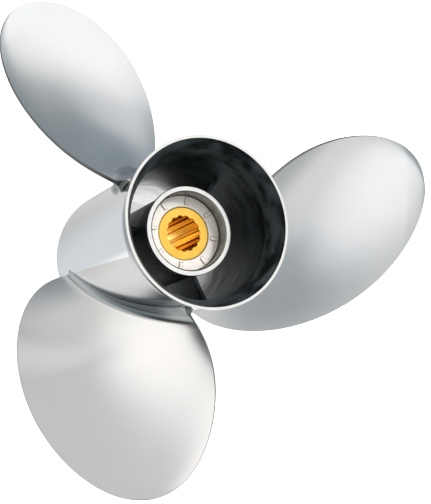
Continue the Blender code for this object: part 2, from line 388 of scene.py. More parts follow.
@dataclass(frozen=True)
class TurnedMetal:
    """Metal faced on a lathe, which leaves fine rings about the shaft.

    Gives the eye a bright ring whose highlight spreads across the feed marks.
    """

    name: str
    colour: str
    tarnish: str
    roughness: float
    # Roughness of the cleanest and of the most tarnished spots, as shares of the usual one
    spread: Pair = (0.85, 1.2)
    # Real feed marks are some 0.1 mm apart; they are drawn coarser so that they show
    feed_mm: float = 0.45
    feed_strength: float = 0.06
    tarnish_mm: float = 9.0

    def build(self) -> Material:
        """Make the material.

        Returns:
            The finished material.
        """
        surface = Surface(self.name, {"Metallic": 1.0})
        turns = add_node(
            surface.tree, "Math", {"operation": "MULTIPLY", 1: 2.0 * math.pi / (self.feed_mm * MM)},
            {0: surface.radius()})
        ridge = add_node(surface.tree, "Math", {"operation": "SINE"}, {0: turns.outputs[0]})
        surface.emboss(ridge.outputs[0], self.feed_strength)
        low, high = self.spread
        surface.vary(
            surface.spots(self.tarnish_mm, detail=4.0), (self.colour, self.tarnish),
            (self.roughness * low, self.roughness * high))
        return surface.material


@dataclass(frozen=True)
class MouldedRubber:
    """Pale grey rubber, pressed in a steel mould.

    Gives the eye a satin face with a fine grain and faint dusty spots.
    """

    dark: str = "#c6c0b8"
    light: str = "#e1ddd7"
    roughness: Pair = (0.26, 0.4)
    dust_mm: float = 7.0
    grain_mm: float = 0.5
    grain_strength: float = 0.12

    def build(self) -> Material:
        """Make the material.

        Returns:
            The finished material.
        """
        surface = Surface("moulded_grey_rubber", {})
        dust = surface.spots(self.dust_mm, detail=4.0)
        surface.vary(dust, (self.dark, self.light), self.roughness)
        surface.emboss(surface.spots(self.grain_mm, detail=3.0), self.grain_strength)
        return surface.material


@dataclass(frozen=True)
class LightTable:
    """Matt white acrylic, cast as a sheet and lit from below. Gives the eye a plain pale ground."""

    light: str = "#f4f4f3"
    dark: str = "#efefed"
    fleck_mm: float = 60.0
    roughness: float = 0.9
    specular: float = 0.1
    glow: float = 0.6

    def build(self) -> Material:
        """Make the material.

        Returns:
            The finished material.
        """
        surface = Surface("opal_acrylic_sheet", {
            "Roughness": self.roughness, "Specular IOR Level": self.specular,
            "Emission Color": linear(self.light), "Emission Strength": self.glow})
        surface.vary(surface.spots(self.fleck_mm, detail=2.0), (self.light, self.dark))
        return surface.material


# Mesh helpers

class Skin(IntEnum):
    """Regions of the casting's surface, by how each was finished."""

    BLADE = 0
    BLADE_EDGE = 1
    BARREL = 2
    RIM = 3
    INSIDE = 4
    TUBE_RIM = 5
    TUBE_BORE = 6
    WALL = 7


def net(rings: int, count: int, closed: bool = True) -> list[tuple[int, int, int, int]]:
    """Join rings of points with four-sided faces.

    Args:
        rings: how many rings there are.
        count: how many points each has.
        closed: whether the last ring is joined to the first.

    Returns:
        The faces, ring by ring.
    """
    faces = []
    for ring in range(rings if closed else rings - 1):
        here, ahead = ring * count, (ring + 1) % rings * count
        for i in range(count):
            after = (i + 1) % count
            faces.append((here + i, here + after, ahead + after, ahead + i))
    return faces


def skinned(name: str, points: np.ndarray, faces: list[tuple[int, int, int, int]],
            skins: list[int]) -> Mesh:
    """Make a mesh.

    Args:
        name: its name.
        points: its points.
        faces: the numbers of each face's points.
        skins: each face's material number.

    Returns:
        The mesh.
    """
    mesh = bpy.data.meshes.new(name)
    mesh.from_pydata(points.reshape(-1, 3).tolist(), [], faces)
    mesh.polygons.foreach_set("material_index", np.array(skins, int))
    return mesh


def lathe(name: str, profile: list[Pair], skins: list[int], steps: int) -> Mesh:
    """Turn a closed profile about Z; its outer side runs downwards.

    Args:
        name: the mesh's name.
        profile: points as radius and height.
        skins: the material number of the side from each point to the next.
        steps: sides of the full turn.

    Returns:
        The closed mesh.
    """
    turns = np.arange(steps) * 2.0 * math.pi / steps
    radii, heights = np.array(profile).T
    points = np.stack([
        np.outer(np.cos(turns), radii), np.outer(np.sin(turns), radii),
        np.tile(heights, (steps, 1))], axis=-1)
    return skinned(name, points, net(steps, len(profile)), skins * steps)


def loft(name: str, rings: np.ndarray, skins: list[int]) -> Mesh:
    """Join closed rings of points and close both ends with strips across the two halves.

    Args:
        name: the mesh's name.
        rings: the points, by ring, then by place in the ring; the second half of a ring runs back.
        skins: the material number of the side from each point of a ring to the next.

    Returns:
        The closed mesh.
    """
    levels, count = rings.shape[:2]
    strips = range(count // 2 - 1)
    faces = net(levels, count, closed=False)
    for base in (0, (levels - 1) * count):
        faces += [(base + i, base + i + 1, base + count - i - 2, base + count - i - 1)
                  for i in strips]
    mesh = skinned(name, rings, faces, skins * (levels - 1) + [Skin.BLADE_EDGE] * 2 * len(strips))
    shape = bmesh.new()
    shape.from_mesh(mesh)
    bmesh.ops.recalc_face_normals(shape, faces=shape.faces)
    shape.to_mesh(mesh)
    shape.free()
    return mesh


def block(name: str, size: Triple, middle: Triple,
          rounding: float, segments: int, skin: int = 0, ends: bool = True) -> Mesh:
    """Shape a box with rounded edges.

    Args:
        name: the mesh's name.
        size: the box's size along each axis.
        middle: its middle.
        rounding: its edges' radius.
        segments: how many straight sides a rounded edge has.
        skin: its material number.
        ends: whether all edges are rounded, or only those along X.

    Returns:
        The closed mesh.
    """
    shape = bmesh.new()
    matrix = Matrix.Translation(middle) @ Matrix.Diagonal((*size, 1.0))
    bmesh.ops.create_cube(shape, size=1.0, matrix=matrix)
    edges = [edge for edge in shape.edges
             if ends or abs(edge.verts[0].co.x - edge.verts[1].co.x) > 0.5 * size[0]]
    bmesh.ops.bevel(shape, geom=edges, offset=rounding, segments=segments, affect="EDGES",
                    profile=0.5, clamp_overlap=True)
    for face in shape.faces:
        face.material_index = skin
    mesh = bpy.data.meshes.new(name)
    shape.to_mesh(mesh)
    shape.free()
    return mesh


def corner(radius: float, height: float, size: float, start: float, sides: int = 4) -> list[Pair]:
    """Give the points of a quarter round.

    Args:
        radius: the centre's distance from the shaft.
        height: the centre's height.
        size: the quarter round's radius.
        start: the angle where it starts, in degrees; it ends a quarter turn clockwise from there.
        sides: how many straight sides it has.

    Returns:
        The points as radius and height.
    """
    turns = [math.radians(start - 90.0 * i / sides) for i in range(sides + 1)]
    return [(radius + size * math.cos(turn), height + size * math.sin(turn)) for turn in turns]


def place(name: str, data: ID, materials: list[Material] | None = None) -> Object:
    """Put a mesh, a lamp or a camera into the scene.

    Args:
        name: the object's name.
        data: its mesh, lamp or camera.
        materials: the slots that a mesh gets, in order, if it has none yet.

    Returns:
        The object.
    """
    for material in materials or ():
        data.materials.append(material)
    item = bpy.data.objects.new(name, data)
    bpy.context.scene.collection.objects.link(item)
    return item


def ring_of(name: str, mesh: Mesh, materials: list[Material], count: int,
            first_angle: float) -> list[Object]:
    """Set copies of a shape round the shaft.

    Args:
        name: the objects' name, which gets a number.
        mesh: the shape, along +X.
        materials: its material slots, in order.
        count: how many copies there are.
        first_angle: the first one's angle, in degrees.

    Returns:
        The objects.
    """
    items = []
    for i in range(count):
        item = place(f"{name}_{i + 1}", mesh.copy(), materials)
        item.rotation_euler.z = math.radians(first_angle + 360.0 * i / count)
        items.append(item)
    return items


def merged(item: Object, others: list[Object], name: str, operation: str = "UNION") -> Mesh:
    """Join closed shapes into one skin, or cut them out of it, and delete their objects.

    Args:
        item: the first shape.
        others: the shapes that are joined to it or cut out of it.
        name: the new mesh's name.
        operation: the Boolean operation.

    Returns:
        The joined mesh.
    """
    group = bpy.data.collections.new("joined")
    for other in others:
        group.objects.link(other)
    union = item.modifiers.new("join", "BOOLEAN")
    union.operation = operation
    union.solver = "EXACT"
    union.operand_type = "COLLECTION"
    union.collection = group
    bpy.context.view_layer.update()
    evaluated = item.evaluated_get(bpy.context.evaluated_depsgraph_get())
    mesh = bpy.data.meshes.new_from_object(evaluated)
    mesh.name = name
    for used in [item] + others:
        bpy.data.objects.remove(used, do_unlink=True)
    bpy.data.collections.remove(group)
    return mesh


def smooth(mesh: Mesh) -> None:
    """Shade a mesh smooth except over its sharp edges.

    Args:
        mesh: the mesh to shade.
    """
    mesh.polygons.foreach_set("use_smooth", np.ones(len(mesh.polygons), bool))
    mesh.set_sharp_from_angle(angle=SMOOTH_ANGLE)


def values_of(items: bpy.types.bpy_prop_collection, name: str, kind: type,
              width: int = 1) -> np.ndarray:
    """Read one property of a mesh's points, corners or faces.

    Args:
        items: the points, corners or faces.
        name: the property.
        kind: the type of its numbers.
        width: how many numbers each one has.

    Returns:
        The numbers, in rows where each has several.
    """
    values = np.zeros(len(items) * width, kind)
    items.foreach_get(name, values)
    return values.reshape(-1, width) if width > 1 else values


def declare(item: Object, node: str) -> None:
    """Hang a finished piece on the frame in place of its plain solid, and report it.

    Args:
        item: the piece.
        node: the solid that it stands for.
    """
    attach(item, BODY)
    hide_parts(node)
    LOG.info("%s stands for %s: %d faces", item.name, node, len(item.data.polygons))


# The casting

@dataclass
class Blade:
    """One blade: a helical pressure face, a cambered back, flat-cut edges and root fillets."""

    root_radius: float = 54.5 * MM
    tip_radius: float = 190.36 * MM
    pitch: float = 512.0 * MM
    drawing_radius: float = 60.0 * MM
    drawing_height: float = 88.5 * MM
    rake_slope: float = 0.174
    rake_curve: float = 0.88
    middle_thickness: Pair = (11.0 * MM, 1.8 * MM)
    leading_thickness: Pair = (1.0 * MM, 1.4 * MM)
    trailing_thickness: Pair = (2.6 * MM, 1.5 * MM)
    leading_round: float = 0.55 * MM
    trailing_round: float = 0.35 * MM
    # The most that an edge's rounding takes of the edge's width, and of the chord
    leading_round_share: float = 0.45
    trailing_round_share: float = 0.3
    chord_round_share: float = 0.2
    cup_depth: float = 2.0 * MM
    cup_chord: float = 80.0 * MM
    cup_power: int = 14
    face_fillet: Pair = (4.0 * MM, 11.5 * MM)
    back_fillet: float = 5.5 * MM
    leading_fillet: float = 3.5 * MM
    trailing_fillet: float = 6.0 * MM
    steepest_fillet: float = 0.006
    # Radius in millimetres, then the angle of mid chord and half the chord's angle, in degrees
    outline: tuple[Triple, ...] = (
        (56.0, -8.0, 35.2), (62.0, -6.9, 36.5), (70.0, -5.5, 37.4), (80.0, -3.9, 37.4),
        (90.0, -2.3, 36.6), (110.0, 0.6, 33.2), (130.0, 3.4, 28.5), (150.0, 6.0, 22.8),
        (170.0, 8.7, 15.7), (180.0, 10.1, 11.0), (187.5, 11.1, 5.7))
    outline_degree: int = 5
    # Keeps the finely divided edges inside the solid's coarser ones
    edge_inset: float = 0.34 * MM
    fillet_heights: tuple[float, ...] = (
        0.05, 0.12, 0.22, 0.36, 0.55, 0.8, 1.1, 1.5, 2.0, 2.6, 3.3, 4.1, 5.0, 6.0, 7.1, 8.3, 9.7,
        11.3)
    chord_steps: int = 56
    span_steps: int = 60
    # How far the last section stays short of the tip, as a share of a step
    last_gap: float = 0.3
    round_steps: int = 4

    def __post_init__(self) -> None:
        """Fair the outline through the drawing sections."""
        rest = np.array([1.0 - self.span_value(row[0] * MM) for row in self.outline])
        middle = np.array([row[1] for row in self.outline])
        half = np.array([row[2] for row in self.outline])
        self.middle_curve = np.polynomial.Polynomial.fit(rest, middle, self.outline_degree)
        self.half_curve = np.polynomial.Polynomial.fit(rest, half / rest, self.outline_degree)

    def span_value(self, radius: float) -> float:
        """Run from 0 at the root to 1 at the tip, fastest at the tip."""
        share = (radius - self.root_radius) / (self.tip_radius - self.root_radius)
        return math.asin(min(1.0, max(0.0, share))) * 2.0 / math.pi

    def span_radius(self, value: float) -> float:
        """Give the radius for a span value."""
        reach = self.tip_radius - self.root_radius
        return self.root_radius + reach * math.sin(value * math.pi / 2.0)

    def swell(self, out: float, size: np.ndarray | float) -> np.ndarray:
        """Give how far fillets of one or several radii stand proud at a height off the barrel."""
        rest = 1.0 - np.clip(out / np.asarray(size), self.steepest_fillet, 1.0)
        return size * (1.0 - np.sqrt(1.0 - rest * rest))

    def edge_share(self, distance: np.ndarray, length: float, size: float) -> np.ndarray:
        """Give the share of the swelling that is left near one edge of the blade.

        Args:
            distance: distances from the edge along the chord.
            length: how far the edge's own fillet stands out here.
            size: that fillet's radius.

        Returns:
            The share for each distance.
        """
        if length <= 0.0:
            return np.ones_like(distance)
        short = 1.0 - np.clip(distance / length, 0.0, 1.0)
        depth = length / float(self.swell(0.0, size))
        return 1.0 - depth * (1.0 - np.sqrt(1.0 - short * short))

    def thickness(self, radius: float, fraction: np.ndarray) -> np.ndarray:
        """Give the thickness without fillets.

        Args:
            radius: the section's radius.
            fraction: shares of the chord from the leading edge.

        Returns:
            The thickness at each share.
        """
        share = max(0.0, (radius - self.root_radius) / (self.tip_radius - self.root_radius))
        rows = (self.middle_thickness, self.leading_thickness, self.trailing_thickness)
        middle, leading, trailing = [root + (tip - root) * share for root, tip in rows]
        bulge = middle - (leading + trailing) / 2.0
        return leading + (trailing - leading) * fraction + bulge * 4.0 * fraction * (1.0 - fraction)

    def section(self, radius: float) -> tuple[np.ndarray, list[int]]:
        """Give one closed section of the blade on a cylinder round the shaft.

        Args:
            radius: the cylinder's radius.

        Returns:
            The points, out along the pressure face and back along the back, and the skin of the
            side from each point to the next.
        """
        rest = 1.0 - self.span_value(radius)
        middle = math.radians(self.middle_curve(rest))
        half = math.radians(self.half_curve(rest) * rest)
        out = radius - self.root_radius
        slope = self.pitch / (2.0 * math.pi * radius)
        length = math.hypot(1.0, slope)
        lead = float(self.swell(out, self.leading_fillet))
        trail = float(self.swell(out, self.trailing_fillet))
        chord = 2.0 * half * radius * length + lead + trail - 2.0 * self.edge_inset
        start = middle - half + (self.edge_inset - lead) / (radius * length)

        def offsets(distance: np.ndarray) -> tuple[np.ndarray, np.ndarray]:
            """Give how far both faces lie off the blade's working surface.

            Args:
                distance: distances from the leading edge along the chord.

            Returns:
                The pressure face's offsets and the back's.
            """
            share = distance / chord
            left = self.edge_share(distance, lead, self.leading_fillet)
            left = left * self.edge_share(chord - distance, trail, self.trailing_fillet)
            fillet = self.face_fillet[0] + (self.face_fillet[1] - self.face_fillet[0]) * share
            face = self.swell(out, fillet) * left
            back = -self.thickness(radius, share) - self.swell(out, self.back_fillet) * left
            return face, back

        face_ends, back_ends = offsets(np.array([0.0, chord]))
        widths = face_ends - back_ends
        most = self.chord_round_share * chord
        nose = min(self.leading_round, self.leading_round_share * widths[0], most)
        tail = min(self.trailing_round, self.trailing_round_share * widths[1], most)
        spread = 0.5 - 0.5 * np.cos(np.pi * np.arange(self.chord_steps + 1) / self.chord_steps)
        run = nose + (chord - nose - tail) * spread
        face, back = offsets(run)
        turns = np.pi / 2.0 * np.arange(self.round_steps) / self.round_steps
        nose_run = nose - nose * np.cos(turns)
        nose_drop = nose - nose * np.sin(turns)
        tail_run = chord - tail + tail * np.cos(turns[::-1])
        tail_drop = tail - tail * np.sin(turns[::-1])
        upper_run = np.concatenate([nose_run, run, tail_run])
        upper = np.concatenate([face[0] - nose_drop, face, face[-1] - tail_drop])
        lower = np.concatenate([back[0] + nose_drop, back, back[-1] + tail_drop])
        runs = np.concatenate([upper_run, upper_run[::-1]])
        offset = np.concatenate([upper, lower[::-1]])
        angle = start + runs / (radius * length)
        share = runs / chord
        beyond = radius - self.drawing_radius
        rake = self.rake_slope * beyond + self.rake_curve * beyond * beyond
        cup = self.cup_depth * min(1.0, chord / self.cup_chord) * (share ** self.cup_power - share)
        height = self.drawing_height + rake + self.pitch * angle / (2.0 * math.pi) + cup
        turn = angle - offset * slope / length / radius
        points = np.stack(
            [radius * np.cos(turn), radius * np.sin(turn), height + offset / length], axis=-1)
        rounds = [Skin.BLADE_EDGE] * self.round_steps
        side = rounds + [Skin.BLADE] * self.chord_steps + rounds
        return points, side + [Skin.BLADE_EDGE] + side[::-1] + [Skin.BLADE_EDGE]

    def mesh(self, inner_radius: float) -> Mesh:
        """Loft the blade from inside the barrel's wall to the tip.

        Args:
            inner_radius: where the blade starts, inside the wall.

        Returns:
            The closed mesh.
        """
        radii = [inner_radius] + [self.root_radius + out * MM for out in self.fillet_heights]
        start = self.span_value(radii[-1])
        step = (1.0 - start) / self.span_steps
        radii += [self.span_radius(start + step * i) for i in range(1, self.span_steps)]
        radii.append(self.span_radius(1.0 - self.last_gap * step))
        sections = [self.section(radius) for radius in radii]
        return loft("blade", np.stack([points for points, _ in sections]), sections[0][1])


@dataclass
class Casting:
    """The one-piece casting: barrel, blades, inner hub tube and webs."""

    blade_count: int = 3
    first_blade_angle: float = 90.0
    barrel_length: float = 162.0 * MM
    barrel_radius: float = 54.5 * MM
    forward_bore: float = 49.3 * MM
    aft_bore: float = 50.3 * MM
    forward_edge_width: float = 2.2 * MM
    forward_edge_length: float = 4.0 * MM
    flare_length: float = 22.0 * MM
    rim_radius: float = 60.0 * MM
    rim_bore: float = 57.9 * MM
    rim_round: float = 0.3 * MM
    tube_radius: float = 29.9 * MM
    tube_rim_radius: float = 31.7 * MM
    tube_bore: float = 27.5 * MM
    tube_forward: float = 14.0 * MM
    tube_aft: float = 129.3 * MM
    tube_rim_length: float = 5.0 * MM
    # The part of the rim's length that is straight, before it narrows to the tube
    tube_rim_straight: float = 0.6
    tube_round: float = 0.45 * MM
    tube_chamfer: float = 1.0 * MM
    web_count: int = 3
    first_web_angle: float = 23.4
    web_thickness: float = 3.0 * MM
    web_forward: float = 20.0 * MM
    web_aft: float = 108.0 * MM
    web_round: float = 0.7 * MM
    barrel_steps: int = 240
    tube_steps: int = 192
    flare_steps: int = 14
    edge_steps: int = 6
    foot_blend: float = 0.5 * MM

    def barrel_mesh(self) -> Mesh:
        """Turn the barrel: straight outside, flared at the aft rim, rounded at the forward one.

        Returns:
            The closed mesh.
        """
        neck = self.barrel_length - self.flare_length
        small = self.rim_round
        shares = [i / self.flare_steps for i in range(self.flare_steps + 1)]
        top = self.barrel_length - small
        outer = [(self.barrel_radius + (self.rim_radius - self.barrel_radius) * s * s,
                  neck + (top - neck) * s) for s in shares[::-1]]
        inner = [(self.aft_bore + (self.rim_bore - self.aft_bore) * s * s,
                  neck + (top - neck) * s) for s in shares]
        edge = []
        for i in range(self.edge_steps + 1):
            turn = 0.5 * math.pi * i / self.edge_steps
            edge.append((self.barrel_radius - self.forward_edge_width * (1.0 - math.cos(turn)),
                         self.forward_edge_length * (1.0 - math.sin(turn))))
        land = corner(self.rim_bore + small, top, small, 180.0)[1:]
        land += corner(self.rim_radius - small, top, small, 90.0)[:-1]
        foot = corner(self.forward_bore + small, small, small, 270.0)
        profile = land + outer + edge + foot + inner
        skins = [Skin.RIM] * len(land) + [Skin.BARREL] * (len(outer) + len(edge) - 1)
        skins += [Skin.RIM] * len(foot) + [Skin.WALL] * len(inner) + [Skin.RIM]
        return lathe("barrel", profile, skins, self.barrel_steps)

    def tube_mesh(self) -> Mesh:
        """Turn the inner hub tube with its thicker machined rim.

        Returns:
            The closed mesh.
        """
        size = self.tube_round
        lip = self.tube_bore + self.tube_chamfer
        rim = [(self.tube_bore, self.tube_aft - self.tube_chamfer), (lip, self.tube_aft)]
        rim += corner(self.tube_rim_radius - size, self.tube_aft - size, size, 90.0)
        waist = self.tube_aft - self.tube_rim_length
        end = self.tube_aft - self.tube_rim_straight * self.tube_rim_length
        side = [(self.tube_rim_radius, end),
                (self.tube_radius, waist), (self.tube_radius, self.tube_forward + size)]
        base = corner(self.tube_radius - size, self.tube_forward + size, size, 0.0)
        base += corner(self.tube_bore + size, self.tube_forward + size, size, 270.0)
        profile = rim + side + base
        skins = [Skin.TUBE_BORE] + [Skin.TUBE_RIM] * (len(rim) - 1)
        skins += [Skin.INSIDE] * (len(side) + len(base) - 1) + [Skin.TUBE_BORE]
        return lathe("hub_tube", profile, skins, self.tube_steps)

    def web_mesh(self) -> Mesh:
        """Shape one web, rounded at its forward and aft edges, along +X.

        Returns:
            The closed mesh.
        """
        inner = (self.tube_bore + self.tube_radius) / 2.0
        outer = (self.forward_bore + self.barrel_radius) / 2.0
        size = (outer - inner, self.web_thickness, self.web_aft - self.web_forward)
        middle = ((inner + outer) / 2.0, 0.0, (self.web_aft + self.web_forward) / 2.0)
        return block("web", size, middle, self.web_round, 4, Skin.INSIDE, ends=False)

    def shade(self, mesh: Mesh) -> None:
        """Give the barrel the true normals of its turned surface, and blend the fillets' feet in.

        Args:
            mesh: the joined mesh.
        """
        smooth(mesh)
        normals = values_of(mesh.corner_normals, "vector", np.float32, 3)
        owners = values_of(mesh.loops, "vertex_index", np.int32)
        points = values_of(mesh.vertices, "co", np.float32, 3)[owners]
        skins = np.repeat(values_of(mesh.polygons, "material_index", np.int32),
                          values_of(mesh.polygons, "loop_total", np.int32))
        radius = np.hypot(points[:, 0], points[:, 1])
        neck = self.barrel_length - self.flare_length
        flare = self.flare_length - self.rim_round
        share = np.clip((points[:, 2] - neck) / flare, 0.0, 1.0)
        rise = 2.0 * (self.rim_radius - self.barrel_radius) * share / flare
        true = np.stack([points[:, 0] / radius, points[:, 1] / radius, -rise], axis=-1)
        true /= np.linalg.norm(true, axis=1, keepdims=True)
        straight = points[:, 2] > self.forward_edge_length - CLOSE
        barrel = (skins == Skin.BARREL) & straight
        normals[barrel] = true[barrel]
        near = np.clip(1.0 - (radius - self.barrel_radius) / self.foot_blend, 0.0, 1.0)
        blades = ((skins == Skin.BLADE) | (skins == Skin.BLADE_EDGE)) & (points[:, 2] < neck)
        weight = (near * blades)[:, None]
        normals = normals * (1.0 - weight) + true * weight
        normals /= np.linalg.norm(normals, axis=1, keepdims=True)
        mesh.normals_split_custom_set(normals.tolist())

    def build(self, blade: Blade) -> Object:
        """Join the casting and dress it.

        Args:
            blade: the blade that it carries three times.

        Returns:
            The finished piece.
        """
        polished = PolishedStainless("polished_cast_stainless_steel", (0.10, 0.15)).build()
        bladed = PolishedStainless(
            "wheel_polished_stainless_blade", (0.16, 0.22), blade=True).build()
        bright = TurnedMetal("machined_stainless_steel", "#e4e4e3", "#d6d6d3", 0.22).build()
        sooty = AsCastStainless("sooty_cast_stainless_steel").build()
        # The barrel's wall gets painted light towards the forward mouth
        wall = AsCastStainless("sooty_barrel_wall_with_painted_light", mouth_light=True).build()
        # The blades' edges get a dark grey that is partly painted shade
        edge = GroundAndShadedEdge().build()
        # The bore wall's grey is darker than the faced rim's, partly as painted shade in the bore
        bore = TurnedMetal("bored_stainless_steel_with_painted_shade", "#b9b9b4", "#8e8e88", 0.36).build()
        slots = [bladed, edge, polished, bright, sooty, bright, bore, wall]
        barrel = place("barrel", self.barrel_mesh(), slots)
        others = [place("hub_tube", self.tube_mesh(), slots)]
        others += ring_of("web", self.web_mesh(), slots, self.web_count, self.first_web_angle)
        skin = blade.mesh((self.barrel_radius + self.aft_bore) / 2.0)
        others += ring_of("blade", skin, slots, self.blade_count, self.first_blade_angle)
        mesh = merged(barrel, others, "cast_propeller")
        self.shade(mesh)
        piece = place("cast_propeller", mesh)
        declare(piece, "propeller_casting")
        return piece


# Bush and sleeve

@dataclass
class RibbedBush:
    """The bush in the hub tube, with eight small ribs moulded on its aft face."""

    outer: float = 27.2 * MM
    inner: float = 19.1 * MM
    forward: float = 34.0 * MM
    aft: float = 119.0 * MM
    edge_round: float = 0.8 * MM
    mouth_round: float = 0.4 * MM
    rib_count: int = 8
    first_rib_angle: float = 7.7
    rib_inner: float = 20.8 * MM
    rib_outer: float = 26.0 * MM
    rib_width: float = 2.1 * MM
    rib_height: float = 0.8 * MM
    rib_round: float = 0.2 * MM
    groove_width: float = 0.55 * MM
    groove_depth: float = 0.8 * MM
    steps: int = 160

    def body_mesh(self) -> Mesh:
        """Turn the bush's plain body.

        Returns:
            The closed mesh.
        """
        big, small = self.edge_round, self.mouth_round
        profile = corner(self.inner + small, self.aft - small, small, 180.0)
        profile += corner(self.outer - big, self.aft - big, big, 90.0)
        profile += corner(self.outer - big, self.forward + big, big, 0.0)
        profile += corner(self.inner + small, self.forward + small, small, 270.0)
        return lathe("bush_body", profile, [0] * len(profile), self.steps)

    def rib_mesh(self, margin: float, depth: float) -> Mesh:
        """Shape one rib along +X, or the cutter for the groove round it, with rounded edges.

        Args:
            margin: how much wider than the rib it is on each side.
            depth: how far it reaches below the face.

        Returns:
            The closed mesh.
        """
        size = (self.rib_outer - self.rib_inner + 2.0 * margin, self.rib_width + 2.0 * margin,
                self.rib_height + depth)
        middle = ((self.rib_outer + self.rib_inner) / 2.0, 0.0,
                  self.aft + (self.rib_height - depth) / 2.0)
        return block("rib", size, middle, self.rib_round, 3)

    def build(self) -> Object:
        """Join the ribs to the body and dress them.

        Returns:
            The finished piece.
        """
        rubber = MouldedRubber().build()
        body = place("bush_body", self.body_mesh(), [rubber])
        groove = self.rib_mesh(self.groove_width, self.groove_depth)
        grooves = ring_of("groove", groove, [], self.rib_count, self.first_rib_angle)
        body = place("bush_body", merged(body, grooves, "grooved", "DIFFERENCE"))
        rib = self.rib_mesh(0.0, 2.0 * self.groove_depth)
        ribs = ring_of("rib", rib, [rubber], self.rib_count, self.first_rib_angle)
        mesh = merged(body, ribs, "ribbed_bush")
        smooth(mesh)
        piece = place("ribbed_bush", mesh)
        declare(piece, "hub_bush")
        return piece


@dataclass
class BrassSleeve:
    """The sleeve in the middle of the bush, splined inside for the propeller shaft."""

    outer: float = 18.8 * MM
    forward: float = 22.0 * MM
    aft: float = 119.0 * MM
    edge_round: float = 0.65 * MM
    spline_count: int = 15
    root_radius: float = 13.0 * MM
    crest_radius: float = 11.5 * MM
    crest_share: float = 0.34
    flank_share: float = 0.08
    mouth_chamfer: float = 0.7 * MM
    # The thrust washer's seat: how much wider it is than the grooves, and the depths where it ends
    seat_margin: float = 0.2 * MM
    seat_depths: Pair = (1.6 * MM, 1.7 * MM)
    steps_per_spline: int = 20

    def bore_radius(self, turn: np.ndarray) -> np.ndarray:
        """Give the splined bore's radius.

        Args:
            turn: angles about the shaft.

        Returns:
            The radius at each angle.
        """
        phase = turn * self.spline_count / (2.0 * math.pi)
        off = np.abs(phase - np.round(phase))
        groove = np.clip((0.5 - self.crest_share / 2.0 - off) / self.flank_share, 0.0, 1.0)
        return self.crest_radius + (self.root_radius - self.crest_radius) * groove

    def build(self) -> Object:
        """Loft the sleeve through rings and dress it.

        Returns:
            The finished piece.
        """
        count = self.spline_count * self.steps_per_spline
        turn = np.arange(count) * 2.0 * math.pi / count
        bore = self.bore_radius(turn)
        plain = np.ones(count)
        size = self.edge_round
        outside = corner(self.outer - size, self.aft - size, size, 90.0)
        outside += corner(self.outer - size, self.forward + size, size, 0.0)
        rows = [(plain * radius, height, 0) for radius, height in outside]
        rows.append((plain * (self.root_radius + self.seat_margin), self.forward, 1))
        rows += [(bore, self.forward + depth, 1) for depth in self.seat_depths]
        rows.append((bore, self.aft - self.mouth_chamfer, 1))
        rows.append((np.maximum(bore, self.crest_radius + self.mouth_chamfer), self.aft, 0))
        points = np.stack([
            np.stack([radius * np.cos(turn), radius * np.sin(turn), np.full(count, height)], -1)
            for radius, height, _ in rows])
        # The rings run the other way round the profile than a lathe's, so the faces are turned
        faces = [(a, d, c, b) for a, b, c, d in net(len(rows), count)]
        skins = [number for _, _, number in rows for _ in range(count)]
        mesh = skinned("brass_sleeve", points, faces, skins)
        smooth(mesh)
        face = TurnedMetal("turned_brass", "#f4c961", "#e8b449", 0.24).build()
        # The bore's brass is lighter than the face's, as painted light in the bore
        broached_and_lit = TurnedMetal("broached_brass_with_painted_light", "#ffd668", "#fcc248", 0.2).build()
        piece = place("brass_sleeve", mesh, [face, broached_and_lit])
        declare(piece, "splined_sleeve")
        return piece


# The studio

@dataclass(frozen=True)
class Screen:
    """A soft-edged screen before the studio's wall: a lit one, or a grey one that shades.

    Angles are in degrees, the azimuth from +X towards +Y; inner and outer bound its soft edge, and
    cover is how much of the wall it hides.
    """

    azimuth: float
    elevation: float
    inner: float
    outer: float
    cover: float
    brightness: float
    colour: str


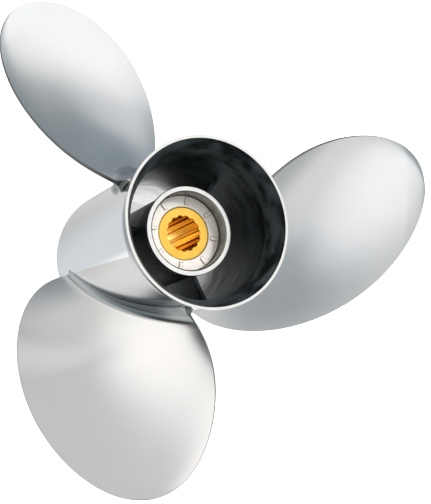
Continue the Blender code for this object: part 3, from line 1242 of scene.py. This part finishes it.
@dataclass
class Studio:
    """A light table for a floor, white walls with soft screens before them, and the camera."""

    floor_size: float = 8.0
    wall_colour: str = "#f4f3f0"
    wall_brightness: float = 0.93
    backdrop: str = "#fefefe"
    screens: tuple[Screen, ...] = (
        Screen(24.0, -14.0, 6.0, 40.0, 0.8, 0.35, "#a6bfc9"),
        Screen(-22.0, -32.0, 6.0, 44.0, 0.85, 0.68, "#b4c6ce"),
        Screen(-2.0, -50.0, 0.0, 30.0, 0.5, 0.28, "#a6bfc9"),
        Screen(-139.0, 35.0, 0.0, 27.0, 0.78, 0.6, "#bccad1"),
        Screen(-108.0, 24.0, 0.0, 26.0, 0.6, 0.6, "#c4d2d8"),
        Screen(157.0, -5.0, 12.0, 31.0, 0.9, 0.82, "#c6cccb"),
        Screen(44.0, -18.0, 0.0, 28.0, 0.5, 0.45, "#acc2cc"),
        Screen(58.0, 28.0, 0.0, 28.0, 0.15, 0.5, "#e6e2dc"),
        Screen(-58.0, -2.0, 0.0, 30.0, 0.5, 0.5, "#c0ced5"),
        Screen(-14.0, -10.0, 0.0, 16.0, 0.7, 0.95, "#ffffff"),
        Screen(-17.0, 11.0, 0.0, 20.0, 1.0, 1.38, "#ffffff"),
        Screen(108.0, 14.0, 2.0, 34.0, 1.0, 1.46, "#fffbf6"),
        Screen(88.0, -4.0, 0.0, 14.0, 0.5, 1.3, "#fffaf2"),
        Screen(108.0, -27.0, 10.0, 24.0, 0.95, 1.5, "#faf8f4"),
        Screen(141.0, -41.0, 8.0, 21.0, 0.95, 1.45, "#faf8f4"),
        Screen(-90.0, 26.0, 0.0, 22.0, 0.75, 1.0, "#ffffff"),
        Screen(-98.0, 52.0, 0.0, 27.0, 1.0, 1.34, "#ffffff"),
        Screen(147.0, 12.0, 11.0, 19.0, 1.0, 0.05, "#c6cccb"),
        Screen(-104.0, 76.0, 6.0, 30.0, 0.8, 1.1, "#ffffff"),
        Screen(0.0, 68.0, 8.0, 28.0, 0.8, 1.4, "#ffffff"),
        Screen(130.0, -66.0, 4.0, 24.0, 0.6, 1.08, "#eef3fa"),
        Screen(60.0, -84.0, 2.0, 21.0, 0.85, 0.42, "#d6dde0"),
        Screen(-82.0, -60.0, 8.0, 24.0, 1.0, 1.7, "#ffffff"),
        Screen(-126.0, -62.0, 8.0, 26.0, 1.0, 1.7, "#ffffff"),
        Screen(-165.0, -60.0, 4.0, 18.0, 1.0, 1.9, "#ffffff"),
    )
    key_azimuth: float = 14.0
    key_elevation: float = 47.0
    key_distance: float = 1.6
    key_size: float = 0.5
    key_watts: float = 30.0
    camera_place: Triple = (-0.42721, 0.03368, 1.00948)
    camera_right: Triple = (0.77048, -0.48559, 0.41299)
    camera_up: Triple = (0.45762, 0.87236, 0.17198)
    camera_back: Triple = (-0.44378, 0.05649, 0.89435)
    lens_mm: float = 101.03
    sensor_mm: float = 36.0
    nearest: float = 0.01

    @staticmethod
    def direction(azimuth: float, elevation: float) -> Triple:
        """Give the direction for an azimuth and an elevation in degrees."""
        turn, rise = math.radians(azimuth), math.radians(elevation)
        return math.cos(rise) * math.cos(turn), math.cos(rise) * math.sin(turn), math.sin(rise)

    def build_camera(self) -> None:
        """Place the camera as the photograph's was."""
        data = bpy.data.cameras.new("camera")
        data.lens = self.lens_mm
        data.sensor_width = self.sensor_mm
        data.sensor_fit = "AUTO"
        data.clip_start = self.nearest
        item = place("camera", data)
        turn = Matrix((self.camera_right, self.camera_up, self.camera_back)).transposed()
        item.matrix_world = Matrix.Translation(self.camera_place) @ turn.to_4x4()
        bpy.context.scene.camera = item

    def build_floor(self) -> None:
        """Lay the floor. It lights the part, but the polish mirrors the walls instead of it."""
        far = self.floor_size / 2.0
        corners = np.array([(-far, -far, 0.0), (far, -far, 0.0), (far, far, 0.0), (-far, far, 0.0)])
        mesh = skinned("floor", corners, [(0, 1, 2, 3)], [0])
        floor = place("floor", mesh, [LightTable().build()])
        floor.visible_glossy = False

    def build_walls(self) -> None:
        """Light the studio by direction, and show the camera a plain backdrop."""
        world = bpy.data.worlds.new("studio")
        bpy.context.scene.world = world
        world.use_nodes = True
        tree = world.node_tree
        background = tree.nodes["Background"]
        aim = add_node(tree, "TexCoord", {}, {}).outputs["Generated"]
        wall = [channel * self.wall_brightness for channel in linear(self.wall_colour)[:3]]
        total = add_node(tree, "CombineXYZ", dict(zip("XYZ", wall)), {}).outputs[0]
        for screen in self.screens:
            middle = self.direction(screen.azimuth, screen.elevation)
            facing = add_node(tree, "VectorMath", {"operation": "DOT_PRODUCT", 1: middle}, {0: aim})
            fade = add_node(
                tree, "MapRange",
                {"interpolation_type": "SMOOTHSTEP", "To Max": screen.cover,
                 "From Min": math.cos(math.radians(screen.outer)),
                 "From Max": math.cos(math.radians(screen.inner))},
                {"Value": facing.outputs["Value"]})
            colour = [channel * screen.brightness for channel in linear(screen.colour)[:3]]
            total = add_node(
                tree, "Mix", {"data_type": "VECTOR", 5: colour},
                {0: fade.outputs[0], 4: total}).outputs[1]
        seen = add_node(tree, "LightPath", {}, {}).outputs["Is Camera Ray"]
        shown = add_node(
            tree, "Mix", {"data_type": "VECTOR", 5: linear(self.backdrop)[:3]}, {0: seen, 4: total})
        tree.links.new(shown.outputs[1], background.inputs["Color"])

    def build_key(self) -> None:
        """Hang the soft key light. The polish mirrors the walls' screens instead of it."""
        data = bpy.data.lights.new("key", "AREA")
        data.shape = "DISK"
        data.size = self.key_size
        data.energy = self.key_watts
        item = place("key", data)
        aim = Vector(self.direction(self.key_azimuth, self.key_elevation))
        item.location = aim * self.key_distance
        item.rotation_euler = aim.to_track_quat("Z", "Y").to_euler()
        item.visible_glossy = False

    def build(self) -> None:
        """Set up the whole studio."""
        bpy.context.scene.view_settings.view_transform = "Standard"
        self.build_key()
        self.build_camera()
        self.build_floor()
        self.build_walls()


def main() -> None:
    """Build the studio and the three pieces, and note the sizes."""
    logging.basicConfig(level=logging.INFO, format="%(message)s")
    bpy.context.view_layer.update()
    Studio().build()
    Casting().build(Blade())
    RibbedBush().build()
    BrassSleeve().build()
    bpy.context.view_layer.update()


if __name__ == "__main__":
    main()
